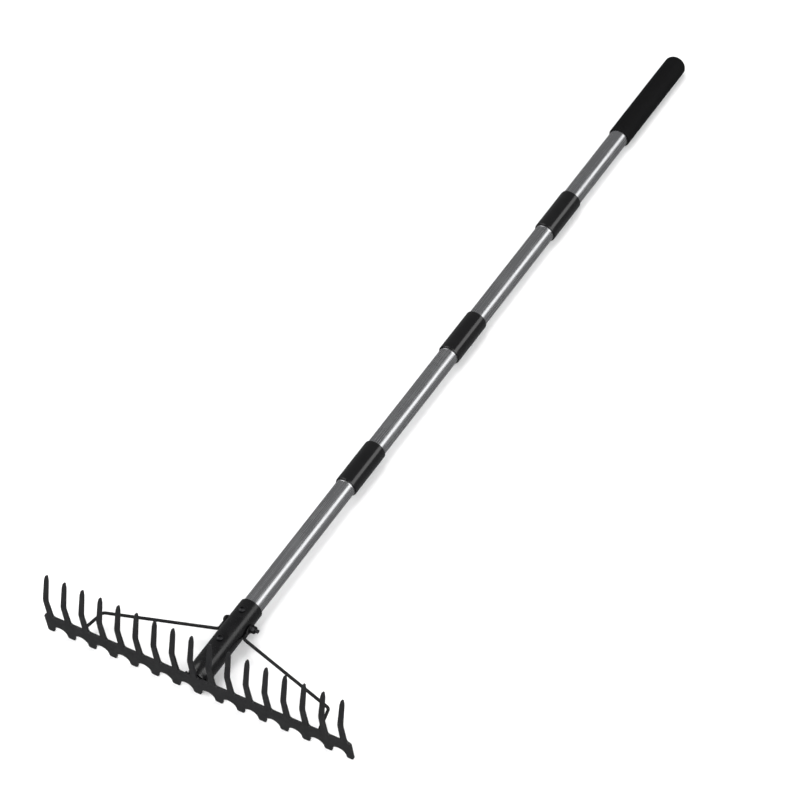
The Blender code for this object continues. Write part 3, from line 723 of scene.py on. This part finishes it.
def make_sleeve(number, joint):
    """The glossy sleeve over a joint, with rounded rims."""
    low, high, bore = joint - SLEEVE_LENGTH / 2, joint + SLEEVE_LENGTH / 2, TUBE_RADIUS + GAP
    profile = round_edge(SLEEVE_RADIUS, high, MOUTH_EDGE, 1)[::-1]
    profile += [(SLEEVE_RADIUS, high - 6), (SLEEVE_RADIUS, low + 6)]
    profile += round_edge(SLEEVE_RADIUS, low, MOUTH_EDGE, -1)[::-1]
    profile += [(bore + 0.3, low), (bore, low + 0.4), (bore, high - 0.4), (bore + 0.3, high)]
    sleeve = turned(f"joint_sleeve_{number}", profile, GLOSS_BLACK)
    belongs(sleeve, f"sleeve_{number}", f"coupling_sleeve_{number}")


def thread(turns, core, height):
    """A thread's radius round its core, as a function of the angle, at a number of turns up from its foot."""

    def radius(a):
        phase = (turns - a / math.tau) % 1.0
        return core + height * max(0.0, min(1.0, 2.2 - abs(phase - 0.5) * 6))

    return radius


def make_male_insert(number, joint, body):
    """A plug with a collar, and a stud with a real helical thread that fades out at both ends."""
    core, collar, foot = STUD_RADIUS - 1.0, TUBE_RADIUS - 0.2, joint + COLLAR_TOP
    profile = [(PLUG_RADIUS - 1, joint - INSERT_DEPTH), (PLUG_RADIUS, joint - INSERT_DEPTH + 1)]
    profile += [(PLUG_RADIUS, joint - 1.3), (PLUG_RADIUS, joint - 1.1), (collar - 0.3, joint - 1.1)]
    profile += [(collar, joint - 0.8), (collar, foot - 0.3), (collar - 0.3, foot), (core, foot)]
    rings = [circle(y, r, SMALL_ROUND) for r, y in profile]
    steps, total = 12, 12 * THREAD_TURNS
    for i in range(1, total + 1):
        fade = min(1.0, i / 6, (total - i) / 6)
        y = foot + THREAD_LENGTH * i / total
        rings.append(circle(y, thread(i / steps, core, fade), SMALL_ROUND))
    top = foot + THREAD_LENGTH
    rings += [circle(top + 0.5, core - 0.1, SMALL_ROUND), circle(top + 1, core - 0.8, SMALL_ROUND)]
    insert = skinned(f"threaded_stud_{number}", rings, INSERT_NYLON)
    belongs(insert, body, f"male_insert_{number}")


def make_female_insert(number, joint, body):
    """A plug with a bore that has one groove for each turn of the thread."""
    bore, foot, top = STUD_RADIUS + GAP, joint + 1.7, joint + INSERT_DEPTH + 3
    profile = [(PLUG_RADIUS - 1, top), (PLUG_RADIUS, top - 1), (PLUG_RADIUS, foot + 0.3)]
    profile += [(PLUG_RADIUS - 0.3, foot), (bore + 0.8, foot), (bore, foot + 0.8)]
    depth = joint + THREAD_LENGTH + 4.5
    y = foot + 2.0
    while y < depth - 3:
        profile += [(bore, y), (bore + 0.7, y + 0.8), (bore + 0.7, y + 1.4), (bore, y + 2.2)]
        y += THREAD_PITCH
    profile += [(bore, depth)]
    insert = turned(f"threaded_socket_{number}", profile, INSERT_NYLON, RAKE, 64, False, FASTENER_SHARP)
    belongs(insert, body, f"female_insert_{number}")


def make_grip(body):
    """The foam sleeve on the last tube, with a domed end."""
    bore, shoulder = TUBE_RADIUS + GAP, GRIP_END - GRIP_DOME
    profile = []
    for i in range(15):
        a = math.radians(4 + 86 * i / 14)
        profile.append((GRIP_RADIUS * math.sin(a), shoulder + GRIP_DOME * math.cos(a)))
    profile += [(GRIP_RADIUS, shoulder - 20 * i) for i in range(1, 8)]
    profile += round_edge(GRIP_RADIUS, GRIP_START, GRIP_EDGE, -1)[::-1]
    profile += [(bore + 0.2, GRIP_START), (bore, GRIP_START + 0.3), (bore, shoulder - 1)]
    grip = turned("foam_grip", profile, GRIP_FOAM, closed=False)
    belongs(grip, body, "grip")


def make_handle():
    """The tubes, then each joint's inserts and sleeve, then the grip."""
    bodies = ["head", "section_2", "section_3", "section_4"]
    starts = [TUBE_START] + [joint + 1.9 for joint in JOINTS_AT]
    ends = [joint - 1.5 for joint in JOINTS_AT] + [GRIP_END - GRIP_DOME - 3]
    feet = [joint - SLEEVE_LENGTH / 2 for joint in JOINTS_AT] + [None]
    for n, tube in enumerate(zip(starts, ends, feet, bodies), 1):
        make_tube(n, *tube)
    for n, joint in enumerate(JOINTS_AT, 1):
        make_male_insert(n, joint, bodies[n - 1])
        make_female_insert(n, joint, bodies[n])
        make_sleeve(n, joint)
    make_grip(bodies[-1])


# Studio

CAMERA_AZIMUTH, CAMERA_ELEVATION, CAMERA_ROLL = 36.51, 46.69, -7.65
CAMERA_AIM, CAMERA_DISTANCE, CAMERA_LENS = (-0.0159, -0.1060, 0.02), 4.315, 157.5
STRIP_MIDDLE, STRIP_WAY, STRIP_DISTANCE = Vector((0, 0, 0.03)), Vector((0.70, 0.549, 0.456)), 1.8
STRIP_FACING = Vector((0.839, 0, 0.545))
WORLD_GREY = (0.21, 0.21, 0.213, 1)
FLOOR_HALF = 9000


def make_camera():
    """Looks at the aim from the azimuth and elevation, turned about its own axis by the roll."""
    a, e, roll = (math.radians(v) for v in (CAMERA_AZIMUTH, CAMERA_ELEVATION, CAMERA_ROLL))
    back = Vector((math.sin(a) * math.cos(e), -math.cos(a) * math.cos(e), math.sin(e)))
    level = Vector((math.cos(a), math.sin(a), 0))
    upward = back.cross(level)
    right = level * math.cos(roll) + upward * math.sin(roll)
    up = back.cross(right)
    data = bpy.data.cameras.new("camera")
    data.lens, data.sensor_width = CAMERA_LENS, 36
    data.clip_end = 100
    camera = bpy.data.objects.new("camera", data)
    bpy.context.scene.collection.objects.link(camera)
    turn = Matrix((right, up, back)).transposed().to_4x4()
    camera.matrix_world = Matrix.Translation(Vector(CAMERA_AIM) + back * CAMERA_DISTANCE) @ turn
    bpy.context.scene.camera = camera


def area_light(name, place, aim, size, radiance, along=(0, 0, 1)):
    """A soft box at a place, facing aim, with its first size along the given direction."""
    data = bpy.data.lights.new(name, "AREA")
    data.shape = "RECTANGLE"
    data.size, data.size_y = size
    data.energy = radiance * math.pi * size[0] * size[1]
    light = bpy.data.objects.new(name, data)
    bpy.context.scene.collection.objects.link(light)
    z = (Vector(place) - Vector(aim)).normalized()
    y = z.cross(Vector(along)).normalized()
    light.matrix_world = Matrix.Translation(place) @ Matrix((y.cross(z), y, z)).transposed().to_4x4()
    light.visible_camera = False
    return light


def make_studio():
    """A pale floor, soft boxes and a grey world. The strip makes the bright stripe along the tubes."""
    bm = bmesh.new()
    bmesh.ops.create_grid(bm, x_segments=8, y_segments=8, size=FLOOR_HALF)
    floor = new_object("floor", bm, FLOOR, Matrix.Identity(4))
    floor.visible_glossy = False
    area_light("key_box", (-3.2, -1.9, 3.4), (0, -0.1, 0), (5.0, 5.0), 2.4)
    area_light("fill_box", (3.4, -1.6, 2.8), (0, 0, 0), (4.6, 4.6), 3.0)
    front = area_light("front_box", (0.3, -4.2, 3.2), (0, 0, 0), (4.6, 3.6), 1.8)
    top = area_light("top_box", (-0.3, 1.0, 4.5), (0, -0.2, 0), (2.6, 1.6), 7.0)
    front.visible_glossy = top.visible_glossy = False
    strip_at = STRIP_MIDDLE + STRIP_WAY * STRIP_DISTANCE
    area_light("strip_box", strip_at, strip_at - STRIP_FACING, (2.0, 0.8), 1.65, HANDLEWARD)
    world = bpy.data.worlds.new("studio")
    world.use_nodes = True
    world.node_tree.nodes["Background"].inputs["Color"].default_value = WORLD_GREY
    bpy.context.scene.world = world
    bpy.context.scene.view_settings.view_transform = "Standard"


make_camera()
make_tine_plate()
make_socket()
make_welds()
for side, hand in SIDES:
    make_brace(side, hand)
make_bolts()
make_handle()
make_studio()
